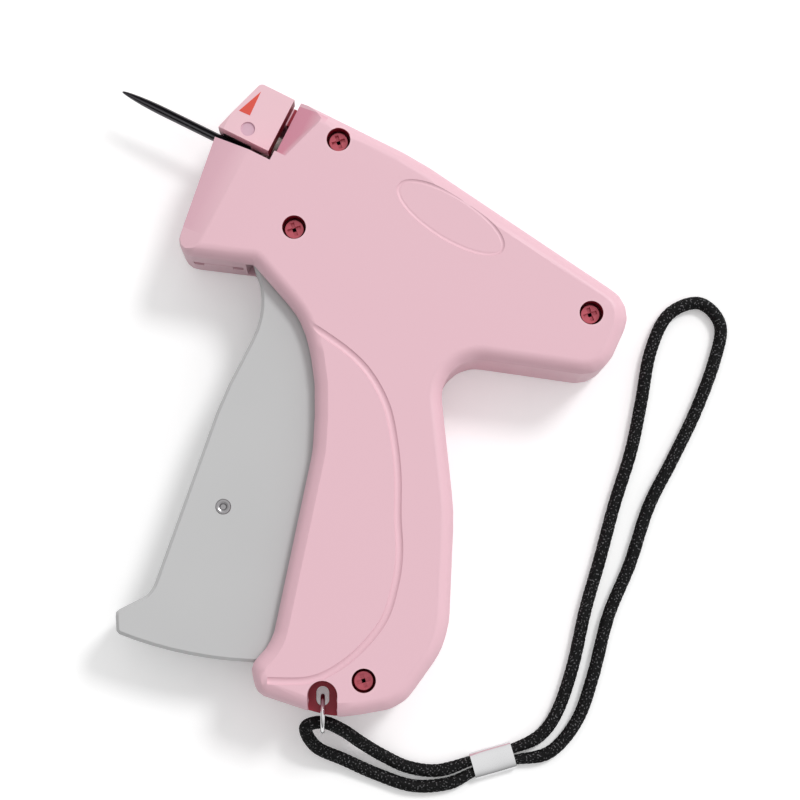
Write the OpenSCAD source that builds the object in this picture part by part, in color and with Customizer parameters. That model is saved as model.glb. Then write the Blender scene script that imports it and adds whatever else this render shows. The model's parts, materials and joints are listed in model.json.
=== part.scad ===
// Hand-held tag attacher: two clamped shells round a needle, a trigger, a lever
// and a sliding push rod, with a wrist strap at the foot of the handle.
// Drawn lying on its right side: +Z is up, +X runs from the needle to the back
// of the barrel, and +Y points to the top of the barrel. Millimetres.

/* [Body] */
// Length of the body, nose to back
body_l = 95.5; // [90:0.5:102]
// Height of the body, toe of the handle to top of the head
body_h = 115; // [108:1:122]
// Width across both shells
body_w = 22; // [21:0.5:26]
// Wall of the shells
wall = 2.2; // [1.8:0.1:2.6]
// Rounding along the outer edges
edge_r = 3.6; // [2.8:0.1:4]
// Length of the nose from its front to the trigger room
nose_l = 19; // [18.4:0.1:19.4]

/* [Needle and head] */
// Outer radius of the needle tube
needle_r = 1.0; // [0.8:0.05:1.1]
// Wall of the needle tube
needle_wall = 0.28; // [0.2:0.02:0.3]
// Needle from the tag slot to its tip
needle_reach = 34.9; // [32:0.1:38]
// Width of the slot that the tag's filament passes
slot_w = 1.6; // [1.2:0.1:2]
// Height of the gap beside the needle
needle_gap = 2.2; // [2.1:0.1:2.6]
// Height of the head plate over the joint between the halves
head_z = 7.2; // [6.8:0.1:7.8]
// Length of the tag channel along the barrel
channel_l = 10; // [9:0.1:10.5]
// Width of the tag channel across the halves
channel_w = 3; // [2.6:0.1:3.4]

/* [Trigger and lever] */
// Width of the trigger
trigger_w = 12.4; // [11:0.2:12.6]
// Wall of the trigger
trigger_wall = 1.6; // [1.2:0.1:1.8]
// Bevel along the trigger's edges
trigger_bevel = 1.3; // [0.8:0.1:1.5]
// Squeeze of the trigger in degrees
squeeze_deg = 16; // [12:0.5:17]
// Radius of the trigger's pivot pin
pivot_r = 1.5; // [1.2:0.1:1.6]
// Radius of the pin that shows in the trigger's side
link_pin_r = 1.6; // [1.3:0.1:1.8]
// Radius of the lever's pins
lever_pin_r = 1.3; // [1.1:0.1:1.4]
// Thickness of the lever
lever_t = 3; // [2.4:0.2:3.2]
// Width of the lever
lever_w = 5.6; // [5:0.2:6]
// Travel of the slide
stroke = 36; // [32:0.5:36.5]
// Radius of the push rod
rod_r = 0.55; // [0.45:0.05:0.6]

/* [Strap] */
// Diameter of the strap's cord
cord_d = 2.8; // [2.4:0.1:2.9]
// Radius of the wire ring, to the middle of its wire
ring_r = 3.7; // [3.6:0.05:3.9]
// Diameter of the ring's wire
ring_wire = 0.9; // [0.7:0.05:1]
// Length of the metal sleeve on the strap
ferrule_l = 9; // [8:0.2:9.4]

/* [Screws] */
// Radius of the holes that the screw heads sit in
recess_r = 2.5; // [2.2:0.05:2.6]
// Depth of those holes
recess_deep = 4.5; // [4:0.1:4.6]
// Radius of the screw's shank
shank_r = 1.2; // [1:0.05:1.3]

/* [Hidden] */
$fn = 48;

// Running gap round a shaft, gap round a slack fit, and the overrun of a cut
run_gap = 0.05;
seat_gap = 0.02;
free_gap = 0.35;
over = 1;
// Step of an arc in degrees
arc_step = 8;

// Corner radii of the outlines
corner_r = 1.2;
toe_r = 2.6;
neck_r = 7.8;
rear_r = 7;
palm_r = 10;
heel_r = 20;
sweep_r = 50;

// Corners of the body as shares of its length and height, each with its radius
body_shares = [
    [-0.085, 0.117, corner_r], [0.304, 0.116, sweep_r], [0.875, 0.051, rear_r],
    [0.880, -0.095, rear_r], [0.532, -0.190, neck_r], [0.716, -0.431, sweep_r],
    [0.831, -0.648, heel_r], [0.803, -0.789, palm_r], [0.683, -0.863, heel_r],
    [0.509, -0.883, toe_r], [0.469, -0.843, toe_r], [0.488, -0.787, palm_r],
    [0.382, -0.448, heel_r], [0.326, -0.340, sweep_r], [0.239, -0.246, heel_r],
    [0.084, -0.192, corner_r], [-0.084, -0.241, toe_r], [-0.127, 0.009, corner_r]];

// Places as shares of the body's length and height
upper_screw_share = [0.129, 0.080];
lower_screw_share = [0.129, -0.101];
rear_screw_share = [0.794, -0.001];
foot_screw_share = [0.703, -0.777];
pivot_share = [0.110, -0.159];
squeeze_pin_share = [0.262, -0.610];
fulcrum_share = [0.555, -0.409];
slide_pin_share = [0.702, 0];
slot_top_share = [0.629, -0.819];
badge_share = [0.426, 0.042];
lock_share = [-0.052, -0.052];
pawl_share = [0.168, 0.043];
wheel_y_share = 0.043;

// Line of the shallow groove round the grip panel
panel_shares = [[0.236, -0.246], [0.346, -0.259], [0.418, -0.279], [0.484, -0.318],
    [0.533, -0.369], [0.575, -0.425], [0.613, -0.489], [0.650, -0.545], [0.672, -0.598],
    [0.684, -0.664], [0.665, -0.734], [0.631, -0.789], [0.590, -0.823], [0.518, -0.853]];

// Front of the trigger from its pivot to its foot, with radii
trigger_bend_r = 18;
trigger_flare_r = 6;
foot_r = 0.8;
sole_share = [0.177, -0.899];
trigger_shares = [[0.076, -0.166, 0], [0.079, -0.190, 0], [0.152, -0.240, trigger_bend_r],
    [0.150, -0.435, sweep_r], [0.205, -0.806, trigger_flare_r], [0.153, -0.864, foot_r],
    [sole_share.x, sole_share.y, foot_r]];
trigger_back_shares = [[0.437, -0.539, 0], [0.328, -0.313, 0], [0.131, -0.146, 0]];
trigger_rear_share = 0.508;

function at(share) = [share.x * body_l, share.y * body_h];
function unit(v) = v / norm(v);
function turn(v, a) = [v.x * cos(a) - v.y * sin(a), v.x * sin(a) + v.y * cos(a)];
function bearing(v) = atan2(v.y, v.x);
function bend(a, b, c, r) =
    r == 0 ? [b] :
    let(u = unit(a - b), v = unit(c - b), half = acos(u * v) / 2, reach = r / tan(half))
    let(mid = b + unit(u + v) * r / sin(half), start = b + u * reach - mid, stop = b + v * reach - mid)
    let(a0 = bearing(start), sweep = (bearing(stop) - a0 + 540) % 360 - 180)
    let(n = max(1, ceil(abs(sweep) / arc_step)))
    [for (k = [0:n]) mid + r * [cos(a0 + sweep * k / n), sin(a0 + sweep * k / n)]];
function rounded(corners) =
    let(n = len(corners), p = [for (c = corners) [c.x, c.y]])
    [for (i = [0:n - 1]) each bend(p[(i + n - 1) % n], p[i], p[(i + 1) % n], corners[i].z)];
// Points between the given points on a smooth curve
function smooth(p0, p1, p2, p3, t) =
    0.5 * ((2 * p1) + (p2 - p0) * t + (2 * p0 - 5 * p1 + 4 * p2 - p3) * t * t + (3 * p1 - p0 - 3 * p2 + p3) * t * t * t);
function eased(points, steps) =
    let(n = len(points))
    [for (i = [0:n - 2]) for (k = [0:(i == n - 2 ? steps : steps - 1)])
        smooth(points[max(i - 1, 0)], points[i], points[i + 1], points[min(i + 2, n - 1)], k / steps)];
function heading(p, i) = unit(p[min(i + 1, len(p) - 1)] - p[max(i - 1, 0)]);
// Outline of a strip of even width along points
function ribbon(p, w) =
    let(n = len(p), side = [for (i = [0:n - 1]) turn(heading(p, i), 90) * w / 2])
    concat([for (i = [0:n - 1]) p[i] + side[i]], [for (i = [n - 1:-1:0]) p[i] - side[i]]);
function placed(shares) = [for (s = shares) [s.x * body_l, s.y * body_h, s.z]];

body_pts = rounded(placed(body_shares));
pivot = at(pivot_share);
squeeze_pin = at(squeeze_pin_share);
fulcrum = at(fulcrum_share);
slide_x = slide_pin_share.x * body_l;

// The trigger's lower edge is an arc about its pivot
trigger_sweep_r = norm(at(sole_share) - pivot);
rear_dx = trigger_rear_share * body_l - pivot.x;
rear_bearing = bearing([rear_dx, -sqrt(pow(trigger_sweep_r, 2) - pow(rear_dx, 2))]);
foot_bearing = bearing(at(sole_share) - pivot);
sole_steps = 8;
sole_step = (rear_bearing - foot_bearing) / sole_steps;
sole = [for (k = [1:sole_steps]) let(a = foot_bearing + sole_step * k)
    [pivot.x + trigger_sweep_r * cos(a), pivot.y + trigger_sweep_r * sin(a), 0]];
trigger_pts = rounded(concat(placed(trigger_shares), sole, placed(trigger_back_shares)));

// Where the model stands: the middle of its plan, on the table
needle_tip_x = -needle_reach;
mid_x = (needle_tip_x + max([for (p = body_pts) p.x])) / 2;
mid_y = (min([for (p = trigger_pts) p.y]) + max([for (p = body_pts) p.y])) / 2;
half_w = body_w / 2;

// The ball that rounds the edges, and the height from its middle to its flat top
edge_steps = 16;
edge_cap = edge_r * cos(180 / edge_steps);

// The lever's swing and its lower arm follow from the slide and the trigger
slide_pin_at = [slide_x, 0];
lever_top = slide_pin_at - fulcrum;
lever_swing = bearing([slide_x - stroke, 0] - fulcrum) - bearing(lever_top);
pin_shift = turn(squeeze_pin - pivot, squeeze_deg) - (squeeze_pin - pivot);
arm_r = norm(pin_shift) / (2 * sin(lever_swing / 2));
arm_rest = turn(unit(pin_shift), -90 - lever_swing / 2) * arm_r;
arm_end = fulcrum + arm_rest;
arm_sag = arm_r * (1 - cos(lever_swing / 2));
lever_bow = 13;
lever_bow_at = 24;
fork_len = 7.5;
fork_root = 6.5;
fork_gap = 0.8;
fork_wall = 1.4;
bow_pt = fulcrum + unit(lever_top) * lever_bow_at + turn(unit(lever_top), 90) * lever_bow;

// The head and the nose
slot_x = -0.2;
channel_x = slot_x + slot_w / 2 - channel_l / 2;
nose_front = -0.127 * body_l;
nose_back = nose_front + nose_l;
scoop_run = 6.5;
scoop_low_run = 2.5;
slice_t = 0.01;
taper_run = 8.6;
taper_drop = 5;
base_l = 6.6;
base_h = 5.2;
base_deep = 3;
base_top = 2.6;
base_set = 0.9;
base_x = nose_front + base_set;

// The slide, its guide and its spring
slide_ahead = 9;
slide_behind = 4.5;
slide_front_t = 2.5;
slide_h = 8;
slide_w = 10;
slide_front = slide_x - slide_ahead;
guide_ahead = 0.6;
guide_x = nose_back + guide_ahead;
guide_l = 5;
guide_h = 5.2;
spring_r = 2.4;
spring_wire = 0.28;
spring_turns = 9;
spring_gap = 0.3;
rod_back = 0.5;
rod_seat = 2;
rod_tip = channel_x + channel_l + rod_back;

// The bosses that hold the screws and pins
boss_wall = 1.1;
pillar_r = 2.6;
seat_t = 1.3;
head_h = 1.8;
driver_w = 0.8;
driver_deep = 1;
pin_boss_r = 2.9;

// The strap: the notch in the handle's foot leans with the handle
notch_lean = -63.7;
notch_dir = [cos(notch_lean), sin(notch_lean)];
notch_r = 3.1;
notch_wall = 1.4;
notch_start = 1.9;
eye_w = 2.7;
eye_l = 4.1;
eye_bar_t = 4.6;
ring_top = 2;
cord_z = -9.5;
ferrule_z = -9.3;
ferrule_w = 5.8;
ferrule_h = 3.2;
ferrule_wall = 0.4;
ferrule_at = [99.4, -92.4];
ferrule_turn = 42.2;
squash_share = 0.78;

// The strap's way, from inside the sleeve, through the ring and back
strap_route = [
    [99.9, -93.6, -9.3], [96.8, -96.4, -9.3], [93, -101, -9.5], [86.5, -104.7, -9.5],
    [78.5, -105.9, -9.5], [71, -106.2, -8.5], [64.5, -106.3, -5.5], [60.7, -103.6, -2],
    [63.4, -100.9, 0], [67.8, -100.6, -2], [72.5, -101.3, -5.5], [78, -101.8, -8.5],
    [84, -101.6, -9.5], [90, -99.4, -9.5], [95.2, -94.6, -9.3], [98.6, -91.5, -9.3],
    [102, -88.4, -9.3], [106, -83.5, -9.5], [107.2, -77, -9.5], [106, -67, -9.5],
    [103.2, -55, -9.5], [101.3, -44, -9.5], [99, -32, -9.5], [97.2, -20, -9.5],
    [94.6, -9.5, -9.5], [91.6, 1.5, -9.5], [91.6, 10.5, -9.5], [96.5, 15.8, -9.5],
    [102.6, 13.6, -9.5], [104.9, 6, -9.5], [106, -6, -9.5], [106, -18, -9.5],
    [105.8, -29, -9.5], [107.5, -42, -9.5], [108.2, -54, -9.5], [110.8, -67, -9.5],
    [111.8, -77, -9.5], [109.5, -85.5, -9.5], [103.6, -90.2, -9.3], [100.5, -93, -9.3]];

module seat() {
    translate([-mid_x, -mid_y, half_w]) children();
}

module bar(a, b, w) {
    hull_len = norm(b - a);
    translate(a) circle(r = w / 2);
    translate(b) circle(r = w / 2);
    translate(a) rotate(bearing(b - a)) translate([0, -w / 2]) square([hull_len, w]);
}

module slab(low, high) {
    translate([0, 0, low]) linear_extrude(high - low) children();
}

module post(p, r, low, high) {
    translate([p.x, p.y, low]) cylinder(r = r, h = high - low);
}

module block(low, high) {
    translate(low) cube(high - low);
}

// A wedge seen from above, standing through Y
module wedge(section, y0, y1) {
    translate([0, y1, 0]) rotate([90, 0, 0]) linear_extrude(y1 - y0) polygon(section);
}

screw_places = [at(upper_screw_share), at(lower_screw_share), at(rear_screw_share), at(foot_screw_share)];
slot_top = at(slot_top_share);

module notch_plan(grow) {
    bar(slot_top + notch_dir * notch_start, slot_top + notch_dir * (notch_start + body_w), 2 * (notch_r + grow));
}

module eye_plan() {
    bar(slot_top + notch_dir * eye_w / 2, slot_top + notch_dir * (eye_l - eye_w / 2), eye_w);
}

// Outline of the room for the trigger behind the front of the handle
room_shares = [[0.066, -0.166], [0.066, -0.30], [0.36, -0.95], [0.60, -0.95],
    [0.60, -0.76], [0.42, -0.45], [0.26, -0.2]];
module room_plan() {
    intersection() {
        polygon([for (s = room_shares) at(s)]);
        translate(pivot) circle(r = trigger_sweep_r + free_gap, $fn = 120);
    }
}

// One half of the case above z = 0; the other half is its mirror image
module half_case(head_boss_r) {
    difference() {
        union() {
            difference() {
                intersection() {
                    minkowski() {
                        slab(-half_w + edge_cap, half_w - edge_cap) offset(delta = -edge_r) polygon(body_pts);
                        sphere(r = edge_r, $fn = edge_steps);
                    }
                    block([-body_l, -2 * body_h, 0], [2 * body_l, body_h, body_w]);
                }
                difference() {
                    slab(-over, half_w - wall) offset(delta = -wall) polygon(body_pts);
                    block([-body_l, -body_h, -2 * over], [nose_back, body_h, body_w]);
                }
            }
            intersection() {
                slab(0, half_w - wall / 2) offset(delta = -wall / 2) polygon(body_pts);
                union() {
                    for (p = screw_places) {
                        post(p, pillar_r, 0, half_w);
                        post(p, head_boss_r, half_w - recess_deep - seat_t, half_w);
                    }
                    post(pivot, pin_boss_r, trigger_w / 2 + free_gap, half_w);
                    post(fulcrum, pin_boss_r, trigger_w / 2 + free_gap, half_w);
                    slab(0, half_w) notch_plan(notch_wall);
                    rails();
                }
            }
        }
        slab(-over, trigger_w / 2 + free_gap) room_plan();
        slab(eye_bar_t / 2, body_w) notch_plan(0);
        slab(-over, body_w) eye_plan();
        // Tag channel, needle room and the base's pocket
        block([channel_x, -body_h, -over], [channel_x + channel_l, body_h, channel_w / 2]);
        block([nose_front - over, -needle_gap / 2, -over], [channel_x + over, needle_gap / 2, needle_gap / 2]);
        block([nose_back - wall, -rod_r * 2, -over], [nose_back + over, rod_r * 2, rod_r * 2]);
        // The nose narrows towards its front
        wedge([[nose_front - over, half_w - taper_drop], [nose_front + taper_run, half_w],
            [nose_front + taper_run, body_w], [nose_front - over, body_w]], -body_h, body_h);
        post(pivot, pivot_r + seat_gap, -over, half_w - wall / 2);
        post(fulcrum, lever_pin_r + seat_gap, -over, half_w - wall / 2);
    }
}

// Rails that the slide runs between
rail_spare = 1;
rail_l = slide_ahead + slide_behind + stroke + rail_spare;
rail_t = 1.5;
rail_low = 2.6;
module rails() {
    for (side = [-1, 1]) {
        rail_y = side * (slide_h / 2 + free_gap + rail_t / 2);
        block([slide_x + slide_behind - rail_l, rail_y - rail_t / 2, rail_low],
            [slide_x + slide_behind, rail_y + rail_t / 2, half_w]);
    }
}

badge_long = 12.5;
badge_short = 4.3;
badge_tilt = -6;
badge_deep = 0.15;
groove_w = 0.5;
groove_deep = 0.2;
module side_marks() {
    badge_steps = 36;
    translate([at(badge_share).x, at(badge_share).y, half_w - badge_deep]) rotate(badge_tilt)
        linear_extrude(over) polygon([for (k = [0:badge_steps - 1]) let(a = 360 * k / badge_steps)
            [badge_long * cos(a), badge_short * sin(a)]]);
    slab(half_w - groove_deep, half_w + over) polygon(ribbon(eased([for (s = panel_shares) at(s)], 2), groove_w));
}

// Section of the slope behind the tag slot, which widens to the top of the barrel
module scoop_slice(run, y) {
    wedge([[slot_x, head_z], [slot_x + slot_w, head_z], [slot_x + slot_w + run, half_w],
        [slot_x + slot_w + run, body_w], [slot_x, body_w]], y, y + slice_t);
}

module left_shell() {
    color([0.92, 0.76, 0.80]) seat() difference() {
        half_case(recess_r + boss_wall);
        side_marks();
        for (p = screw_places) {
            post(p, recess_r, half_w - recess_deep, body_w);
            post(p, shank_r + 4 * run_gap, -over, body_w);
        }
        // Room for the head plate, with the slope behind the tag slot
        block([nose_front - over, needle_gap / 2, -over], [slot_x, body_h, body_w]);
        block([slot_x - over, -needle_gap / 2, -over], [slot_x + slot_w, body_h, body_w]);
        block([nose_front - over, -needle_gap / 2, -over], [slot_x + slot_w, needle_gap / 2, body_w]);
        hull() {
            scoop_slice(scoop_low_run, needle_gap / 2);
            scoop_slice(scoop_run, body_shares[0].y * body_h);
        }
        block([base_x, -base_h / 2 - seat_gap, -over], [base_x + base_l, base_h / 2 + seat_gap, base_top]);
    }
}

lock_r = 3;
lock_low = 8;
lock_top = 1.8;
wheel_r = 4;
wheel_z = -4.9;
wheel_l = 9.2;
shaft_r = 1;
shaft_ahead = 2.6;
pocket_gap = 0.4;
wheel_y = wheel_y_share * body_h;
lock_at = at(lock_share);
pawl_at = at(pawl_share);
pawl_w = 2.4;
pawl_t = 2;
pawl_z = -5.4;
pawl_pin_r = 0.9;
pawl_hub_r = 2;
exit_bar = 5.8;

module right_shell() {
    color([0.92, 0.76, 0.80]) seat() difference() {
        union() {
            mirror([0, 0, 1]) half_case(pillar_r);
            intersection() {
                slab(-channel_w, channel_w / 2 - seat_gap) polygon(body_pts);
                block([slot_x + slot_w / 2 - exit_bar / 2, -body_h, -channel_w],
                    [slot_x + slot_w / 2 + exit_bar / 2, -0.17 * body_h, channel_w]);
            }
            intersection() {
                post(pawl_at, pawl_pin_r + boss_wall, -half_w + wall / 2, pawl_z - pawl_t / 2 - free_gap);
                slab(-half_w, 0) polygon(body_pts);
            }
        }
        for (p = screw_places)
            post(p, shank_r + run_gap, -half_w + wall, over);
        block([base_x, -base_h / 2 - seat_gap, -base_deep], [base_x + base_l, base_h / 2 + seat_gap, over]);
        post(lock_at, lock_r + run_gap, -body_w, -lock_top + over);
        // Pocket and shaft bore of the feed wheel
        block([channel_x, wheel_y - wheel_r - pocket_gap, wheel_z - wheel_r - pocket_gap],
            [channel_x + channel_l, wheel_y + wheel_r + pocket_gap, 0]);
        translate([channel_x - shaft_ahead, wheel_y, wheel_z]) rotate([0, 90, 0])
            cylinder(r = shaft_r + seat_gap, h = body_l);
        block([nose_back - wall, wheel_y - pawl_w, pawl_z - pawl_t], [nose_back + over, wheel_y + pawl_w, pawl_z + pawl_t]);
        post(pawl_at, pawl_pin_r + seat_gap, -half_w + wall / 2, over);
    }
}

// Pan-head screws with a cross recess
module case_screws() {
    color([0.55, 0.12, 0.2]) seat() for (p = screw_places) difference() {
        union() {
            post(p, recess_r - 2 * run_gap, half_w - recess_deep, half_w - recess_deep + head_h);
            post(p, shank_r, -half_w + wall + over, half_w - recess_deep);
        }
        for (a = [45, 135])
            translate([p.x, p.y, half_w - recess_deep + head_h - driver_deep]) rotate(a)
                translate([-recess_r * 0.6, -driver_w / 2, 0]) cube([recess_r * 1.2, driver_w, body_w]);
    }
}

module head_plan() {
    intersection() {
        polygon(body_pts);
        translate([nose_front - over, needle_gap / 2]) square([slot_x - nose_front + over, body_h]);
    }
}

dimple_at = [-6.2, 3.4];
dimple_r = 1.5;
dimple_deep = 0.4;
module head_plate() {
    color([0.94, 0.79, 0.83]) seat() difference() {
        slab(0, head_z) head_plan();
        block([channel_x, -body_h, -over], [channel_x + channel_l, body_h, channel_w / 2]);
        block([base_x, -base_h / 2 - seat_gap, -over], [base_x + base_l, base_h / 2 + seat_gap, base_top]);
        post(dimple_at, dimple_r, head_z - dimple_deep, body_w);
        wedge([[nose_front - over, half_w - taper_drop], [nose_front + taper_run, half_w],
            [nose_front + taper_run, body_w], [nose_front - over, body_w]], 0, body_h);
    }
}

tip_l = 9;
module needle_tube() {
    needle_end = base_x + base_l;
    slit = 0.8;
    color([0.35, 0.35, 0.37]) seat() difference() {
        translate([needle_tip_x, 0, 0]) rotate([0, 90, 0]) difference() {
            cylinder(r = needle_r, h = needle_end - needle_tip_x);
            translate([0, 0, -over]) cylinder(r = needle_r - needle_wall, h = body_l);
        }
        block([needle_tip_x - over, -slit / 2, 0], [needle_end + over, slit / 2, 2 * needle_r]);
        wedge([[needle_tip_x - over, -needle_r - over], [needle_tip_x - over, 2 * needle_r],
            [needle_tip_x + tip_l, 2 * needle_r], [needle_tip_x + tip_l, needle_r],
            [needle_tip_x, -0.7 * needle_r], [needle_tip_x, -needle_r - over]], -2 * needle_r, 2 * needle_r);
    }
}

module needle_base() {
    color([0.12, 0.12, 0.13]) seat() difference() {
        block([base_x, -base_h / 2, -base_deep], [base_x + base_l, base_h / 2, base_top]);
        translate([base_x - over, 0, 0]) rotate([0, 90, 0]) cylinder(r = needle_r + seat_gap, h = body_l);
        block([base_x - over, -needle_r, 0], [base_x + body_l, needle_r, body_w]);
    }
}

module needle_lock() {
    coin_slot = 1;
    color([0.8, 0.2, 0.15]) seat() difference() {
        post(lock_at, lock_r, -lock_low, -lock_top);
        translate([lock_at.x - lock_r, lock_at.y - coin_slot / 2, -lock_low - over])
            cube([2 * lock_r, coin_slot, 2 * over]);
        block([lock_at.x - lock_r, lock_at.y + lock_r * 0.7, -base_deep - run_gap], [lock_at.x + lock_r, 0, 0]);
    }
}

module trigger() {
    color([0.78, 0.78, 0.78]) seat() difference() {
        union() {
            difference() {
                minkowski() {
                    slab(-trigger_w / 2 + trigger_bevel, trigger_w / 2 - trigger_bevel)
                        offset(delta = -trigger_bevel) polygon(trigger_pts);
                    sphere(r = trigger_bevel, $fn = 8);
                }
                slab(-trigger_w / 2 + trigger_wall, trigger_w / 2 - trigger_wall)
                    for (k = [0:sole_steps]) translate(pivot) rotate(k * sole_step) translate(-pivot)
                        offset(delta = -trigger_wall) polygon(trigger_pts);
            }
            post(pivot, pin_boss_r, -trigger_w / 2, trigger_w / 2);
        }
        post(pivot, pivot_r + run_gap, -body_w, body_w);
        post(squeeze_pin, link_pin_r + seat_gap, -body_w, body_w);
    }
}

module trigger_pivot_pin() {
    color([0.7, 0.7, 0.72]) seat() post(pivot, pivot_r, -half_w + wall, half_w - wall);
}

module trigger_link_pin() {
    color([0.6, 0.6, 0.62]) seat() post(squeeze_pin, link_pin_r, -trigger_w / 2, trigger_w / 2);
}

link_w = 5.8;
link_half = 3.3;
link_fork = 10;
module link() {
    color([0.6, 0.6, 0.62]) seat() difference() {
        slab(-link_half, link_half) bar(squeeze_pin, arm_end, link_w);
        post(squeeze_pin, link_pin_r + run_gap, -body_w, body_w);
        post(arm_end, lever_pin_r + seat_gap, -body_w, body_w);
        slab(-lever_t / 2 - free_gap, lever_t / 2 + free_gap)
            bar(arm_end + unit(squeeze_pin - arm_end) * (link_fork - link_w), arm_end + unit(arm_end - squeeze_pin) * link_w,
                2 * link_w);
    }
}

module link_pin() {
    color([0.7, 0.7, 0.72]) seat() post(arm_end, lever_pin_r, -link_half, link_half);
}

module drive_lever() {
    up = unit(lever_top);
    fork_w = 2 * (lever_pin_r + fork_gap + fork_wall);
    color([0.85, 0.85, 0.83]) seat() difference() {
        slab(-lever_t / 2, lever_t / 2) {
            bar(fulcrum, bow_pt, lever_w);
            bar(bow_pt, slide_pin_at - up * fork_root, lever_w);
            bar(slide_pin_at - up * fork_root, slide_pin_at + up * (fork_len - fork_root), fork_w);
            bar(fulcrum, arm_end, lever_w);
        }
        post(fulcrum, lever_pin_r + run_gap, -body_w, body_w);
        slab(-body_w, body_w) {
            bar(slide_pin_at - up * (fork_root - fork_wall), slide_pin_at + up * body_w, 2 * (lever_pin_r + fork_gap));
            bar(arm_end - unit(arm_rest) * arm_sag, arm_end, 2 * (lever_pin_r + free_gap));
        }
    }
}

module lever_pivot_pin() {
    color([0.7, 0.7, 0.72]) seat() post(fulcrum, lever_pin_r, -half_w + wall, half_w - wall);
}

module slide() {
    color([0.92, 0.92, 0.9]) seat() difference() {
        block([slide_front, -slide_h / 2, -slide_w / 2], [slide_x + slide_behind, slide_h / 2, slide_w / 2]);
        block([slide_front + slide_front_t, -slide_h, -lever_t / 2 - free_gap],
            [slide_x + slide_behind + over, slide_h, lever_t / 2 + free_gap]);
        post(slide_pin_at, lever_pin_r + seat_gap, -body_w, body_w);
        translate([slide_front - over, 0, 0]) rotate([0, 90, 0])
            cylinder(r = rod_r + seat_gap, h = slide_front_t + 2 * over);
    }
}

module slide_pin() {
    color([0.7, 0.7, 0.72]) seat() post(slide_pin_at, lever_pin_r, -slide_w / 2, slide_w / 2);
}

module push_rod() {
    color([0.6, 0.6, 0.62]) seat() translate([rod_tip, 0, 0]) rotate([0, 90, 0])
        cylinder(r = rod_r, h = slide_front + rod_seat - rod_tip);
}

module rod_guide() {
    color([0.92, 0.92, 0.9]) seat() difference() {
        block([guide_x, -guide_h / 2, -half_w + wall], [guide_x + guide_l, guide_h / 2, half_w - wall]);
        translate([guide_x - over, 0, 0]) rotate([0, 90, 0]) cylinder(r = rod_r + run_gap, h = body_l);
    }
}

// A tube through points, each with its own radius and frame
function cross3(a, b) = [a.y * b.z - a.z * b.y, a.z * b.x - a.x * b.z, a.x * b.y - a.y * b.x];
module tube(path, radii, sides, up) {
    n = len(path);
    points = [for (i = [0:n - 1]) let(t = heading(path, i), u = unit(cross3(up, t)), v = cross3(t, u))
        for (k = [0:sides - 1]) let(a = 360 * k / sides) path[i] + radii[i] * (cos(a) * u + sin(a) * v)];
    faces = concat(
        [for (i = [0:n - 2]) for (k = [0:sides - 1]) let(a = i * sides + k, b = i * sides + (k + 1) % sides)
            each [[a, b, b + sides], [a, b + sides, a + sides]]],
        [for (k = [1:sides - 2]) [0, k + 1, k]],
        [for (k = [1:sides - 2]) [(n - 1) * sides, (n - 1) * sides + k, (n - 1) * sides + k + 1]]);
    polyhedron(points, [for (f = faces) [f[0], f[2], f[1]]]);
}

module return_spring() {
    per_turn = 8;
    x0 = guide_x + guide_l + spring_gap;
    x1 = slide_front - spring_gap;
    n = spring_turns * per_turn;
    path = [for (i = [0:n]) let(a = 360 * i / per_turn)
        [x0 + (x1 - x0) * i / n, spring_r * cos(a), spring_r * sin(a)]];
    color([0.6, 0.6, 0.6]) seat() tube(path, [for (i = [0:n]) spring_wire], 6, [1, 0, 0]);
}

// Two rows of teeth on a hub, which draw the tags down
module feed_wheel() {
    teeth = 8;
    row_t = 1.6;
    row_in = 1.2;
    root_share = 0.62;
    hub_share = 0.5;
    color([0.92, 0.92, 0.9]) seat() translate([channel_x + (channel_l - wheel_l) / 2, wheel_y, wheel_z])
        rotate([0, 90, 0]) difference() {
            union() {
                cylinder(r = wheel_r * hub_share, h = wheel_l);
                for (x = [row_in, wheel_l - row_in - row_t]) translate([0, 0, x]) linear_extrude(row_t)
                    polygon([for (k = [0:2 * teeth - 1]) let(a = 180 * k / teeth)
                        wheel_r * (k % 2 == 0 ? 1 : root_share) * [cos(a), sin(a)]]);
            }
            translate([0, 0, -over]) cylinder(r = shaft_r + run_gap, h = wheel_l + 2 * over);
        }
}

module feed_shaft() {
    color([0.7, 0.7, 0.72]) seat() translate([channel_x - shaft_ahead, wheel_y, wheel_z]) rotate([0, 90, 0])
        cylinder(r = shaft_r, h = nose_back - channel_x + shaft_ahead - 2 * free_gap);
}

module index_pawl() {
    tip = [channel_x + channel_l - free_gap, wheel_y];
    color([0.85, 0.85, 0.83]) seat() difference() {
        slab(pawl_z - pawl_t / 2, pawl_z + pawl_t / 2) {
            bar(pawl_at, [tip.x + pawl_w, tip.y], pawl_w);
            translate(pawl_at) circle(r = pawl_hub_r);
        }
        post(pawl_at, pawl_pin_r + run_gap, -body_w, body_w);
    }
}

module pawl_pin() {
    color([0.7, 0.7, 0.72]) seat() post(pawl_at, pawl_pin_r, -half_w + wall / 2, pawl_z + pawl_t / 2 + free_gap);
}

module strap_ring() {
    mid = slot_top + notch_dir * (ring_top + ring_r);
    color([0.8, 0.8, 0.8]) seat() translate([mid.x, mid.y, 0]) rotate([0, 90, notch_lean - 90])
        rotate_extrude() translate([ring_r, 0]) circle(r = ring_wire / 2, $fn = 24);
}

function squashed(p) =
    let(away = norm([p.x, p.y] - ferrule_at), near = ferrule_l / 2 + ferrule_wall)
    squash_share + (1 - squash_share) * min(1, max(0, (away - near) / near));

module strap_cord() {
    path = eased(strap_route, 2);
    color([0.08, 0.08, 0.08]) seat() tube(path, [for (p = path) cord_d / 2 * squashed(p)], 8, [0, 0, 1]);
}

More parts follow.
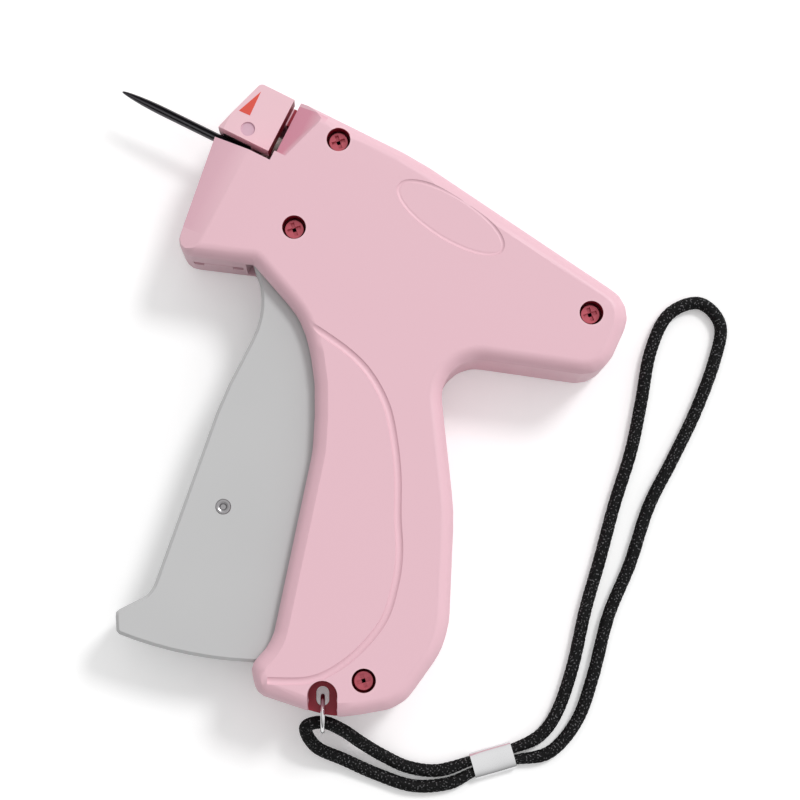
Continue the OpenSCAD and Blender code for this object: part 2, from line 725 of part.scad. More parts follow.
module strap_ferrule() {
    color([0.8, 0.8, 0.8]) seat() translate([ferrule_at.x, ferrule_at.y, ferrule_z]) rotate([0, 0, ferrule_turn])
        rotate([0, 90, 0]) translate([0, 0, -ferrule_l / 2]) linear_extrude(ferrule_l) difference() {
            offset(r = ferrule_h / 4) square([ferrule_h / 2, ferrule_w - ferrule_h / 2], center = true);
            square([ferrule_h - 2 * ferrule_wall, ferrule_w - 2 * ferrule_wall], center = true);
        }
}

left_shell();
right_shell();
case_screws();
head_plate();
needle_tube();
needle_base();
needle_lock();
trigger();
trigger_pivot_pin();
trigger_link_pin();
link();
link_pin();
drive_lever();
lever_pivot_pin();
slide();
slide_pin();
push_rod();
rod_guide();
return_spring();
feed_wheel();
feed_shaft();
index_pawl();
pawl_pin();
strap_ring();
strap_cord();
strap_ferrule();
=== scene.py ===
"""Garment tag attacher lying on its right side, with its needle and wrist strap."""
import json
import math

import bmesh
import bpy
from mathutils import Matrix, Vector


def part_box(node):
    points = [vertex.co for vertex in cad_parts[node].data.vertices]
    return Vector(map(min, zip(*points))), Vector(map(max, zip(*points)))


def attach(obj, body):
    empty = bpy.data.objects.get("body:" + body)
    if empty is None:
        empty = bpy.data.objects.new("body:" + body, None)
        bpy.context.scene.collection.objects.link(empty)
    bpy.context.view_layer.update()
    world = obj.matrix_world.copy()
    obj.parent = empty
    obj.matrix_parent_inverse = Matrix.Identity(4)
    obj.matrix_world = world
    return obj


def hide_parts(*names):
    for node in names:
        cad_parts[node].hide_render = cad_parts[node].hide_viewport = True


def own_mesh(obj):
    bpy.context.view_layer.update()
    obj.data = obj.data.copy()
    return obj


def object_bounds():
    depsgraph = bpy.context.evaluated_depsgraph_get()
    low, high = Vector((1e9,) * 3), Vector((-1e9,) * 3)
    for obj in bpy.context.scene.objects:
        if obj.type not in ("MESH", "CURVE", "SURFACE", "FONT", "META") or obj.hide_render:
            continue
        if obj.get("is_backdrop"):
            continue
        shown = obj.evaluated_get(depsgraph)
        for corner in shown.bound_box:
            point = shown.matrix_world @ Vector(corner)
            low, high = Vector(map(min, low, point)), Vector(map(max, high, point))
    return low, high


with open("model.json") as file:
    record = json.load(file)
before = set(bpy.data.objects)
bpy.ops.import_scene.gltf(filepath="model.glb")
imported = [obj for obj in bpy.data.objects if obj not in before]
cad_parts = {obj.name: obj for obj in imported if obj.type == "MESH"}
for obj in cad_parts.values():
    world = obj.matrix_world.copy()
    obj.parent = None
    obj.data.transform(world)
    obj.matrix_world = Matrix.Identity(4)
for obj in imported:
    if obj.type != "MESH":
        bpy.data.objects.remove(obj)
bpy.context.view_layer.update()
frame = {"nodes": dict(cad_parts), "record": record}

MM = 0.001

# The middle of the tag slot on the needle's line, at the joint between the halves
NEEDLE_REACH = 34.9
needle_low, needle_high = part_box("needle_tube")
ORIGIN = Vector((
    needle_low.x + NEEDLE_REACH * MM,
    (needle_low.y + needle_high.y) / 2,
    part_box("left_shell")[0].z,
))


def spot(x, y, z=0.0):
    """A place in the part's own millimetres, as a point of the frame in metres."""
    return ORIGIN + Vector((x, y, z)) * MM


# The outside of the case and what is let into its left side
BODY_L = 95.5
BODY_H = 115
FACE_Z = 11


def at(x_share, y_share):
    """A place given in shares of the body's length and height."""
    return (x_share * BODY_L, y_share * BODY_H)


SCREW_PLACES = [at(0.129, 0.080), at(0.129, -0.101), at(0.794, -0.001), at(0.703, -0.777)]
NOTCH_TOP = at(0.629, -0.819)
NOTCH_LEAN = math.radians(-63.7)
NOTCH_RUNS = (1.9, 4.0, 6.0, 8.0)
NOTCH_PLACES = [
    (NOTCH_TOP[0] + run * math.cos(NOTCH_LEAN), NOTCH_TOP[1] + run * math.sin(NOTCH_LEAN))
    for run in NOTCH_RUNS
]
DIMPLE_AT = (-6.2, 3.4)

# Camera, over the left side, with the picture's upright turned against the barrel
IMAGE_UP = Vector((-0.4431, 0.8965, 0))
CAMERA_AT = (62.1, -85, 490)
CAMERA_AIM = (48.2, -34.3, 11)
CAMERA_LENS = 104.7
CAMERA_SENSOR = 36
CAMERA_NEAREST = 0.01


def looking(location, aim, up):
    """The turn and place of a camera there that looks at the aim."""
    back = (location - aim).normalized()
    right = up.cross(back).normalized()
    upright = back.cross(right)
    turned = Matrix((right, upright, back)).transposed().to_4x4()
    return Matrix.Translation(location) @ turned


camera_data = bpy.data.cameras.new("camera")
camera_data.lens = CAMERA_LENS
camera_data.sensor_width = CAMERA_SENSOR
camera_data.clip_start = CAMERA_NEAREST
camera = bpy.data.objects.new("camera", camera_data)
camera.matrix_world = looking(spot(*CAMERA_AT), spot(*CAMERA_AIM), IMAGE_UP)
bpy.context.scene.collection.objects.link(camera)
bpy.context.scene.camera = camera


# Nodes of shaders and of shapes

class Reading:
    """A value at a point of the surface, with sums written as in Python."""

    def __init__(self, finish, socket):
        self.finish = finish
        self.socket = socket

    def maths(self, operation, *values):
        made = self.finish.node("ShaderNodeMath", {"operation": operation}, *values)
        return Reading(self.finish, made.outputs[0])

    def __add__(self, other):
        return self.maths("ADD", self, other)

    def __radd__(self, other):
        return self.maths("ADD", other, self)

    def __sub__(self, other):
        return self.maths("SUBTRACT", self, other)

    def __rsub__(self, other):
        return self.maths("SUBTRACT", other, self)

    def __mul__(self, other):
        return self.maths("MULTIPLY", self, other)

    def __rmul__(self, other):
        return self.maths("MULTIPLY", other, self)

    def __truediv__(self, other):
        return self.maths("DIVIDE", self, other)

    def __rtruediv__(self, other):
        return self.maths("DIVIDE", other, self)

    def __pow__(self, other):
        return self.maths("POWER", self, other)

    def __gt__(self, other):
        return self.maths("GREATER_THAN", self, other)

    def __lt__(self, other):
        return self.maths("LESS_THAN", self, other)

    def clamped(self):
        return self.maths("MAXIMUM", self.maths("MINIMUM", self, 1), 0)


def put(tree, socket, value):
    """Gives a socket a value, or the link that brings one."""
    if isinstance(value, Reading):
        value = value.socket
    if isinstance(value, bpy.types.NodeSocket):
        tree.links.new(value, socket)
    else:
        socket.default_value = value


def grown(tree, kind, settings, *values, **named):
    """A new node: its settings come first, then its sockets in their order or by name."""
    made = tree.nodes.new(kind)
    for name, value in settings.items():
        setattr(made, name, value)
    for socket, value in zip(made.inputs, values):
        put(tree, socket, value)
    for name, value in named.items():
        put(tree, made.inputs[name.replace("_", " ")], value)
    return made


# Fine grain of the moulded plastics
GRAIN_SCALE = 9000
GRAIN_DEEP = 0.00002
GRAIN_STRENGTH = 0.25
GRAIN_DETAIL = 2.0


class Finish:
    """One material of the object, and the nodes that it is made of."""

    def __init__(self, name, colour, roughness, metallic=0.0):
        self.material = bpy.data.materials.new(name)
        self.material.use_nodes = True
        self.material.diffuse_color = colour
        self.tree = self.material.node_tree
        self.set("Base Color", colour)
        self.set("Roughness", roughness)
        self.set("Metallic", metallic)

    def set(self, name, value):
        put(self.tree, self.tree.nodes["Principled BSDF"].inputs[name], value)

    def node(self, kind, settings, *values, **named):
        return grown(self.tree, kind, settings, *values, **named)

    def place(self):
        """The point's place on the piece, as three readings in metres."""
        where = self.node("ShaderNodeTexCoord", {}).outputs["Object"]
        parts = self.node("ShaderNodeSeparateXYZ", {}, where)
        return [Reading(self, parts.outputs[i]) for i in range(3)]

    def mixed(self, share, first, second):
        """The first colour, which becomes the second where the share is one."""
        made = self.node("ShaderNodeMix", {"data_type": "RGBA"}, share)
        colours = [socket for socket in made.inputs if socket.type == "RGBA"]
        put(self.tree, colours[0], first)
        put(self.tree, colours[1], second)
        return [socket for socket in made.outputs if socket.type == "RGBA"][0]

    def noise(self, scale, detail, where=None):
        source = where or self.node("ShaderNodeTexCoord", {}).outputs["Object"]
        made = self.node("ShaderNodeTexNoise", {}, Vector=source, Scale=scale, Detail=detail)
        return Reading(self, made.outputs[0])

    def grain(self):
        bump = self.node("ShaderNodeBump", {}, Strength=GRAIN_STRENGTH, Distance=GRAIN_DEEP,
                         Height=self.noise(GRAIN_SCALE, GRAIN_DETAIL))
        self.set("Normal", bump.outputs[0])


def between(value, low, high):
    return (value > low) * (value < high)


def round_spots(finish, places, radius, soft):
    """One inside circles round the places, zero outside."""
    x, y, _ = finish.place()
    total = 0
    for place in places:
        centre = spot(*place)
        away = ((x - centre.x) ** 2 + (y - centre.y) ** 2) ** 0.5
        total = total + (((radius + soft) * MM - away) / (soft * MM)).clamped()
    return total


def shade(red, green, blue):
    """A colour as a picture gives it, from 0 to 255, in the renderer's own values."""
    def linear(value):
        share = value / 255
        return share / 12.92 if share <= 0.04045 else ((share + 0.055) / 1.055) ** 2.4
    return (linear(red), linear(green), linear(blue), 1.0)


PINK = shade(233, 190, 201)
PALE_PINK = shade(238, 197, 206)
# Painted shade: darker pinks on the sunken scoop and nose facets
SCOOP_SHADE_PINK = shade(216, 132, 156)
NOSE_SHADE_PINK = shade(222, 172, 187)
# Painted shade in the dimple of the head cover
DIMPLE_SHADE_PINK = shade(214, 176, 192)
# Painted shade: deep red in the screw holes, the notch and the tag slot
PAINTED_SHADE_RED = shade(150, 20, 45)
MARK_RED = shade(222, 78, 62)
GREY = shade(200, 200, 200)
FLOW_GREY = shade(188, 188, 189)
STEEL = shade(168, 166, 168)
DARK_STEEL = shade(92, 90, 94)
BRAID_BLACK = shade(16, 16, 17)
YARN_BLACK = shade(9, 9, 10)
FLECK_GREY = shade(150, 150, 152)
MOULDED_ROUGHNESS = 0.42

# Flow marks on the trigger, and the sheen and the flecks of the braid
FLOW_SCALE = 45
FLOW_DETAIL = 1.0
FLOW_RISE = 0.5
FLOW_SHARE = 0.35
BRAID_SHEEN = 0.2
FLECK_SCALE = 22
FLECK_DETAIL = 0.0
FLECK_FROM = 0.62
FLECK_RISE = 9
FLECK_SHARE = 0.4

# Painted shade and painted highlight on the pink plastic: deep red painted shade in the screw holes, the
# notch and the tag slot, darker painted shade on the sunken scoop and nose facets and in the dimple, a
# paler painted highlight on the rims round the screw holes; radii, limits and fades in millimetres
HOLE_SHADE_R = 2.55
HOLE_SHADE_SOFT = 0.08
HOLE_SHADE_TOP = FACE_Z - 0.25
RIM_HIGHLIGHT_R = 2.75
RIM_HIGHLIGHT_SOFT = 0.35
RIM_HIGHLIGHT_SHARE = 0.5
NOTCH_SHADE_R = 3.0
NOTCH_SHADE_TOP = FACE_Z - 1.2
DIMPLE_SHADE_R = 1.45
ROUND_SHADE_SOFT = 0.1
SLOT_SHADE_X = (-0.3, 1.5)
SLOT_SHADE_LOWEST_Y = -18
SLOT_SHADE_TOP = 7.0
SLOPE_SHADE_TOP = FACE_Z - 0.1
SLOPE_SHADE_LOW = 6.9
SLOPE_SHADE_FADE = 2.0
SCOOP_SHADE_X = (1.35, 8.2)
SCOOP_SHADE_Y = (1.0, 12.6)
SCOOP_SHADE_SHARE = 0.75
NOSE_SHADE_BACK_X = -3.4
NOSE_SHADE_Y = (-21.5, 1.2)
NOSE_SHADE_SHARE = 0.55


def across(value, limits):
    """One where the reading along the barrel lies between the limits."""
    return between(value, spot(limits[0], 0).x, spot(limits[1], 0).x)


def upright(value, limits):
    """One where the reading up the handle lies between the limits."""
    return between(value, spot(0, limits[0]).y, spot(0, limits[1]).y)


def tag_slot_shade(finish):
    """One on the walls of the slot that the tag's filament passes, where deep red painted shade goes."""
    x, y, z = finish.place()
    below = z < spot(0, 0, SLOT_SHADE_TOP).z
    return across(x, SLOT_SHADE_X) * below * (y > spot(0, SLOT_SHADE_LOWEST_Y).y)


def body_finish():
    """Satin pink plastic, with deep red painted shade inside the screw holes, the notch and the tag slot,
    darker painted shade on the sunken scoop and nose facets, and a paler painted highlight on the rims
    round the screw holes.
    """
    made = Finish("pink_plastic", PINK, MOULDED_ROUGHNESS)
    made.grain()
    x, y, z = made.place()
    # Deep red painted shade inside the screw holes, the notch and the tag slot
    holes = round_spots(made, SCREW_PLACES, HOLE_SHADE_R, HOLE_SHADE_SOFT)
    # Paler painted highlight on the rims round the screw holes
    rim_highlights = round_spots(made, SCREW_PLACES, RIM_HIGHLIGHT_R, RIM_HIGHLIGHT_SOFT) * RIM_HIGHLIGHT_SHARE
    deep = z < spot(0, 0, HOLE_SHADE_TOP).z
    notch = round_spots(made, NOTCH_PLACES, NOTCH_SHADE_R, ROUND_SHADE_SOFT)
    notch = notch * (z < spot(0, 0, NOTCH_SHADE_TOP).z)
    inside = (holes * deep + tag_slot_shade(made) + notch).clamped()
    # Darker painted shade on the sunken scoop and nose facets
    sunk = ((spot(0, 0, SLOPE_SHADE_TOP).z - z) / (SLOPE_SHADE_FADE * MM)).clamped()
    sunk = sunk * (z > spot(0, 0, SLOPE_SHADE_LOW).z)
    scoop = sunk * across(x, SCOOP_SHADE_X) * upright(y, SCOOP_SHADE_Y)
    nose = sunk * (x < spot(NOSE_SHADE_BACK_X, 0).x) * upright(y, NOSE_SHADE_Y)
    pink = made.mixed(scoop * SCOOP_SHADE_SHARE, PINK, SCOOP_SHADE_PINK)
    pink = made.mixed(nose * NOSE_SHADE_SHARE, pink, NOSE_SHADE_PINK)
    pink = made.mixed(rim_highlights, pink, PALE_PINK)
    made.set("Base Color", made.mixed(inside, pink, PAINTED_SHADE_RED))
    return made.material


def head_finish():
    """Paler pink plastic, with darker painted shade in the dimple and deep red painted shade on the side
    of the tag slot.
    """
    made = Finish("pale_pink_plastic", PALE_PINK, MOULDED_ROUGHNESS)
    made.grain()
    # Darker painted shade in the dimple
    dimple = round_spots(made, [DIMPLE_AT], DIMPLE_SHADE_R, ROUND_SHADE_SOFT)
    pink = made.mixed(dimple, PALE_PINK, DIMPLE_SHADE_PINK)
    # Deep red painted shade on the side of the tag slot
    made.set("Base Color", made.mixed(tag_slot_shade(made), pink, PAINTED_SHADE_RED))
    return made.material


def trigger_finish():
    """Light grey plastic with faint flow marks from the moulding."""
    made = Finish("grey_plastic", GREY, 0.45)
    made.grain()
    flow = (made.noise(FLOW_SCALE, FLOW_DETAIL) - 0.5) * FLOW_RISE + FLOW_SHARE
    made.set("Base Color", made.mixed(flow.clamped(), GREY, FLOW_GREY))
    return made.material


def cord_finish():
    """Black braid with the pale flecks of its yarn."""
    made = Finish("black_braid", BRAID_BLACK, 0.75)
    along = made.node("ShaderNodeUVMap", {}).outputs[0]
    flecks = ((made.noise(FLECK_SCALE, FLECK_DETAIL, along) - FLECK_FROM) * FLECK_RISE).clamped()
    made.set("Base Color", made.mixed(flecks * FLECK_SHARE, YARN_BLACK, FLECK_GREY))
    made.set("Specular IOR Level", BRAID_SHEEN)
    return made.material


def plain_finish(name, colour, roughness, metallic=0.0):
    return Finish(name, colour, roughness, metallic).material


FINISHES = {
    "body_plastic": body_finish(),
    "head_plastic": head_finish(),
    "trigger_plastic": trigger_finish(),
    "screw_steel": plain_finish("reddish_screw_steel", shade(196, 96, 108), 0.3, 0.75),
    "needle_steel": plain_finish("dark_polished_steel", DARK_STEEL, 0.28, 1.0),
    "pin_steel": plain_finish("ground_steel", STEEL, 0.3, 1.0),
    "pressed_steel": plain_finish("plated_sheet", STEEL, 0.4, 1.0),
    "spring_steel": plain_finish("spring_wire", shade(140, 140, 144), 0.35, 1.0),
    "white_plastic": plain_finish("natural_plastic", shade(232, 230, 222), 0.4),
    "black_plastic": plain_finish("black_plastic", shade(34, 34, 36), 0.45),
    "red_plastic": plain_finish("red_plastic", shade(205, 60, 45), 0.4),
    "chrome": plain_finish("bright_plating", shade(240, 240, 241), 0.1, 1.0),
    "cord": cord_finish(),
}


# Making of pieces
SHARP = math.radians(34)
FLAT = math.radians(0.3)
WELD = 0.000001
EDGE_STEPS = 2


def linked(name, data):
    """A new object of the scene, at the origin."""
    made = bpy.data.objects.new(name, data)
    bpy.context.scene.collection.objects.link(made)
    return made


def piece(name, mesh, slot, node=None, body="root", material=None):
    """A finished piece of the object, which rides on its body in the place of a solid."""
    mesh.materials.clear()
    mesh.materials.append(material or FINISHES[slot])
    made = linked(name, mesh)
    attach(made, body)
    if node:
        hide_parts(node)
    return made


def shaped(source, name, changes):
    """A plain mesh of the object with the changes that modifiers make, and the object gone."""
    graph = bpy.context.evaluated_depsgraph_get()
    graph.update()
    mesh = bpy.data.meshes.new_from_object(source.evaluated_get(graph))
    mesh.name = name
    for modifier in changes:
        source.modifiers.remove(modifier)
    bpy.data.objects.remove(source)
    return mesh


def meshed(shape, name, sharp=False):
    """The mesh of a shape, its faces turned outwards."""
    bmesh.ops.recalc_face_normals(shape, faces=shape.faces)
    mesh = bpy.data.meshes.new(name)
    shape.to_mesh(mesh)
    shape.free()
    if sharp:
        mesh.set_sharp_from_angle(angle=SHARP)
    return mesh


def joined(shape, before, after, smooth=True):
    """The faces between two rings with as many points."""
    made = []
    for k in range(len(before)):
        n = (k + 1) % len(before)
        face = shape.faces.new((before[k], before[n], after[n], after[k]))
        face.smooth = smooth
        made.append(face)
    return made


def turns(count):
    """Angles that go once round in so many steps."""
    return [2 * math.pi * k / count for k in range(count)]


def eased(points, steps):
    """The points, with more between them on the smooth curve through them."""
    made = []
    last = len(points) - 1
    for i in range(last):
        p0, p1 = points[max(i - 1, 0)], points[i]
        p2, p3 = points[i + 1], points[min(i + 2, last)]
        for k in range(steps + (i == last - 1)):
            t = k / steps
            made.append(0.5 * (
                2 * p1 + (p2 - p0) * t + (2 * p0 - 5 * p1 + 4 * p2 - p3) * t * t
                + (3 * p1 - p0 - 3 * p2 + p3) * t ** 3
            ))
    return made


def swept(name, route, sides, radius_at, closed=False):
    """A tube along the route, its radius given by place, angle and run, and its whole run."""
    shape = bmesh.new()
    layer = shape.loops.layers.uv.new("along")
    count = len(route)
    rings = []
    runs = [0.0]
    for i, point in enumerate(route):
        after = route[(i + 1) % count] if closed else route[min(i + 1, count - 1)]
        before = route[i - 1] if closed else route[max(i - 1, 0)]
        ahead = (after - before).normalized()
        side = Vector((0, 0, 1)).cross(ahead).normalized()
        over = ahead.cross(side)
        if i:
            runs.append(runs[-1] + (point - route[i - 1]).length)
        ring = []
        for angle in turns(sides):
            outward = math.cos(angle) * side + math.sin(angle) * over
            place = point + radius_at(point, angle, runs[-1]) * outward
            ring.append(shape.verts.new(spot(*place)))
        rings.append(ring)
    around = math.pi * CORD_DIAMETER
    for i in range(count if closed else count - 1):
        j = (i + 1) % count
        for k, face in enumerate(joined(shape, rings[i], rings[j])):
            corners = ((k, i), (k + 1, i), (k + 1, j), (k, j))
            for loop, (turned, run) in zip(face.loops, corners):
                loop[layer].uv = (turned / sides, runs[run] / around)
    if not closed:
        shape.faces.new(rings[0])
        shape.faces.new(rings[-1])
    return meshed(shape, name), runs[-1]


def worked(node, name, edge, slot, body="root", cutters=()):
    """A copy of a solid with its joints closed, grooves cut and its sharp edges softened."""
    shape = bmesh.new()
    shape.from_mesh(frame["nodes"][node].data)
    bmesh.ops.remove_doubles(shape, verts=shape.verts, dist=WELD)
    bmesh.ops.dissolve_limit(shape, angle_limit=FLAT, verts=shape.verts, edges=shape.edges)
    mesh = bpy.data.meshes.new(name + "_plain")
    shape.to_mesh(mesh)
    shape.free()
    for face in mesh.polygons:
        face.use_smooth = True
    mesh.set_sharp_from_angle(angle=SHARP)
    source = linked(name + "_plain", mesh)
    changes = []
    for cutter in cutters:
        cut = source.modifiers.new("groove", "BOOLEAN")
        cut.operation = "DIFFERENCE"
        cut.solver = "EXACT"
        cut.object = cutter
        changes.append(cut)
    if edge:
        bevel = source.modifiers.new("edges", "BEVEL")
        bevel.width = edge * MM
        bevel.segments = EDGE_STEPS
        bevel.limit_method = "ANGLE"
        bevel.angle_limit = SHARP
        changes.append(bevel)
    weighted = source.modifiers.new("faces", "WEIGHTED_NORMAL")
    weighted.keep_sharp = True
    changes.append(weighted)
    finished = shaped(source, name, changes)
    for cutter in cutters:
        bpy.data.objects.remove(cutter)
    return piece(name, finished, slot, node, body)


# Wrist strap, from inside the sleeve, through the ring and back
CORD_DIAMETER = 2.8
CORD_SQUASH_SHARE = 0.78
CORD_ROUTE = [
    (99.9, -93.6, -9.3), (96.8, -96.4, -9.3), (93, -101, -9.5), (86.5, -104.7, -9.5),
    (78.5, -105.9, -9.5), (71, -106.2, -8.5), (64.5, -106.3, -5.5), (60.7, -103.6, -2),
    (63.4, -100.9, 0), (67.8, -100.6, -2), (72.5, -101.3, -5.5), (78, -101.8, -8.5),
    (84, -101.6, -9.5), (90, -99.4, -9.5), (95.2, -94.6, -9.3), (98.6, -91.5, -9.3),
    (102, -88.4, -9.3), (106, -83.5, -9.5), (107.2, -77, -9.5), (106, -67, -9.5),
    (103.2, -55, -9.5), (101.3, -44, -9.5), (99, -32, -9.5), (97.2, -20, -9.5),
    (94.6, -9.5, -9.5), (91.6, 1.5, -9.5), (91.6, 10.5, -9.5), (96.5, 15.8, -9.5),
    (102.6, 13.6, -9.5), (104.9, 6, -9.5), (106, -6, -9.5), (106, -18, -9.5),
    (105.8, -29, -9.5), (107.5, -42, -9.5), (108.2, -54, -9.5), (110.8, -67, -9.5),
    (111.8, -77, -9.5), (109.5, -85.5, -9.5), (103.6, -90.2, -9.3), (100.5, -93, -9.3),
]
CORD_STEPS = 24
CORD_SIDES = 32
BRAID_YARNS = 8
BRAID_TURN = 10.0
BRAID_SHARE = 0.09
SLEEVE_AT = Vector((99.4, -92.4, -9.3))
SLEEVE_NEAR = 4.9
SLEEVE_TURN = math.radians(42.2)
SLEEVE_L = 9.0
SLEEVE_HALF_W = 2.9
SLEEVE_HALF_H = 1.6
SLEEVE_WALL = 0.4
SLEEVE_WAIST = 0.1
SLEEVE_SIDES = 48
SLEEVE_STEPS = 12
OVAL_POWER = 0.88


def yarn_radius(point, angle, run):
    """The cord's surface, pressed flat at the sleeve and raised by its crossing yarns."""
    away = (point.xy - SLEEVE_AT.xy).length
    free_share = min(1, max(0, (away - SLEEVE_NEAR) / SLEEVE_NEAR))
    radius = CORD_DIAMETER / 2 * (CORD_SQUASH_SHARE + (1 - CORD_SQUASH_SHARE) * free_share)
    twist = 2 * math.pi * run * BRAID_YARNS / BRAID_TURN
    yarn = max(math.cos(BRAID_YARNS * angle + twist), math.cos(BRAID_YARNS * angle - twist))
    return radius * (1 + BRAID_SHARE * (yarn - 1))


def wrist_cord():
    """The cord, the points that it follows and its length in millimetres."""
    route = eased([Vector(p) for p in CORD_ROUTE], CORD_STEPS)
    mesh, run = swept("wrist_cord", route, CORD_SIDES, yarn_radius)
    return piece("wrist_cord", mesh, "cord", "strap_cord"), [spot(*p) for p in route], run


def oval(half_w, half_h, angle):
    """A point of an oval that is nearly flat on its broad sides."""
    wide, high = math.cos(angle), math.sin(angle)
    return Vector((0, half_w * math.copysign(abs(wide) ** OVAL_POWER, wide),
                   half_h * math.copysign(abs(high) ** OVAL_POWER, high)))


def strap_sleeve():
    """The pressed metal sleeve that holds both ends of the cord."""
    turned = Matrix.Rotation(SLEEVE_TURN, 3, "Z")
    shape = bmesh.new()
    walls = []
    for inset in (0, SLEEVE_WALL):
        rings = []
        for i in range(SLEEVE_STEPS + 1):
            run = i / SLEEVE_STEPS - 0.5
            waist = SLEEVE_WAIST * math.cos(math.pi * run) ** 2
            half_w = SLEEVE_HALF_W - inset
            half_h = SLEEVE_HALF_H - inset - waist
            ahead = Vector((run * SLEEVE_L, 0, 0))
            places = [SLEEVE_AT + turned @ (ahead + oval(half_w, half_h, a)) for a in turns(SLEEVE_SIDES)]
            rings.append([shape.verts.new(spot(*place)) for place in places])
        walls.append(rings)
    outer, inner = walls
    loop = outer + inner[::-1]
    for before, after in zip(loop, loop[1:] + loop[:1]):
        joined(shape, before, after)
    return piece("strap_sleeve", meshed(shape, "strap_sleeve", sharp=True), "chrome", "strap_ferrule")


cord, cord_path, cord_length = wrist_cord()
sleeve = strap_sleeve()
ring = worked("strap_ring", "wire_ring", 0, "chrome")
cord_length * MM

# Grooves in the left half: the line round the grip and the rim of the oval badge
PANEL_LINE = [
    at(0.236, -0.246), at(0.346, -0.259), at(0.418, -0.279), at(0.484, -0.318), at(0.533, -0.369),
    at(0.575, -0.425), at(0.613, -0.489), at(0.650, -0.545), at(0.672, -0.598), at(0.684, -0.664),
    at(0.665, -0.734), at(0.631, -0.789), at(0.590, -0.823), at(0.518, -0.853),
]
PANEL_STEPS = 6
PANEL_GROOVE_R = 0.95
PANEL_GROOVE_DEEP = 0.42
BADGE_AT = at(0.426, 0.042)
BADGE_LONG = 12.5
BADGE_SHORT = 4.3
BADGE_TILT = math.radians(-6)
BADGE_POINTS = 72
BADGE_GROOVE_R = 0.62
BADGE_GROOVE_DEEP = 0.26
GROOVE_SIDES = 20


def groove_cutter(name, route, radius, closed=False):
    mesh, _ = swept(name, route, GROOVE_SIDES, lambda point, angle, run: radius, closed)
    return linked(name, mesh)


def panel_cutter():
    level = FACE_Z + PANEL_GROOVE_R - PANEL_GROOVE_DEEP
    corners = [Vector((x, y, level)) for x, y in PANEL_LINE]
    return groove_cutter("panel_line", eased(corners, PANEL_STEPS), PANEL_GROOVE_R)


def badge_cutter():
    tilt = Matrix.Rotation(BADGE_TILT, 3, "Z")
    centre = Vector((*BADGE_AT, FACE_Z + BADGE_GROOVE_R - BADGE_GROOVE_DEEP))
    rim = [centre + tilt @ Vector((BADGE_LONG * math.cos(a), BADGE_SHORT * math.sin(a), 0))
           for a in turns(BADGE_POINTS)]
    return groove_cutter("badge_rim", rim, BADGE_GROOVE_R, closed=True)


# Pieces that keep the shape of their solids, each with the softening of its sharp edges
CASE_EDGE = 0.22
COVER_EDGE = 0.25
FOOT_EDGE = 0.2
worked("left_shell", "left_half", CASE_EDGE, "body_plastic", cutters=[panel_cutter(), badge_cutter()])
worked("right_shell", "right_half", CASE_EDGE, "body_plastic")
worked("head_plate", "head_cover", COVER_EDGE, "head_plastic")
worked("trigger", "squeeze_trigger", COVER_EDGE, "trigger_plastic", body="trigger")
worked("needle_base", "needle_foot", FOOT_EDGE, "black_plastic")

# Slit needle, ground to a point over the length of its tip
NEEDLE_R = 1.0
NEEDLE_WALL = 0.28
NEEDLE_END = -4.63
NEEDLE_TIP_L = 10.0
NEEDLE_TIP_SHARE = 0.1
NEEDLE_TIP_POWER = 0.6
NEEDLE_DROP = 0.3
NEEDLE_RINGS = 60
NEEDLE_CROWDING = 1.5
SLIT_DEG = 38
SECTION_STEPS = 18


def needle_section(radius, wall):
    """The open ring of the needle, its slit facing up."""
    start, stop = math.radians(90 + SLIT_DEG), math.radians(450 - SLIT_DEG)
    angles = [start + (stop - start) * k / SECTION_STEPS for k in range(SECTION_STEPS + 1)]
    outer = [(radius * math.cos(a), radius * math.sin(a)) for a in angles]
    inner = [((radius - wall) * math.cos(a), (radius - wall) * math.sin(a)) for a in reversed(angles)]
    return outer + inner


def needle():
    shape = bmesh.new()
    rings = []
    for i in range(NEEDLE_RINGS + 1):
        x = -NEEDLE_REACH + (NEEDLE_END + NEEDLE_REACH) * (i / NEEDLE_RINGS) ** NEEDLE_CROWDING
        share = min(1, (x + NEEDLE_REACH) / NEEDLE_TIP_L)
        growth = math.sin(share * math.pi / 2) ** NEEDLE_TIP_POWER
        scale = NEEDLE_TIP_SHARE + (1 - NEEDLE_TIP_SHARE) * growth
        drop = (1 - scale) * NEEDLE_DROP
        section = needle_section(NEEDLE_R * scale, NEEDLE_WALL * scale)
        rings.append([shape.verts.new(spot(x, y, z - drop)) for y, z in section])
    for before, after in zip(rings, rings[1:]):
        joined(shape, before, after)
    shape.faces.new(rings[0])
    shape.faces.new(rings[-1])
    piece("slit_needle", meshed(shape, "slit_needle", sharp=True), "needle_steel", "needle_tube")


# Riveted pin through the trigger: radius and height of the points of its upper end
RIVET_AT = at(0.262, -0.610)
RIVET_PROFILE = [(0.0, 5.75), (0.55, 5.75), (0.8, 6.1), (1.1, 6.2), (1.45, 6.2), (1.6, 6.05)]
RIVET_SIDES = 40


def rivet():
    profile = [(r, -z) for r, z in RIVET_PROFILE] + [(r, z) for r, z in reversed(RIVET_PROFILE)]
    shape = bmesh.new()
    rings = []
    for r, z in profile:
        angles = turns(RIVET_SIDES)[:RIVET_SIDES if r else 1]
        places = [(RIVET_AT[0] + r * math.cos(a), RIVET_AT[1] + r * math.sin(a), z) for a in angles]
        rings.append([shape.verts.new(spot(*place)) for place in places])
    for before, after in zip(rings, rings[1:]):
        for k in range(RIVET_SIDES):
            n = (k + 1) % RIVET_SIDES
            corners = [before[k % len(before)], before[n % len(before)],
                       after[n % len(after)], after[k % len(after)]]
            shape.faces.new(list(dict.fromkeys(corners)))
    piece("trigger_rivet", meshed(shape, "trigger_rivet"), "pin_steel", "trigger_link_pin",
          body="trigger")


needle()
rivet()


# Pieces that Geometry Nodes make

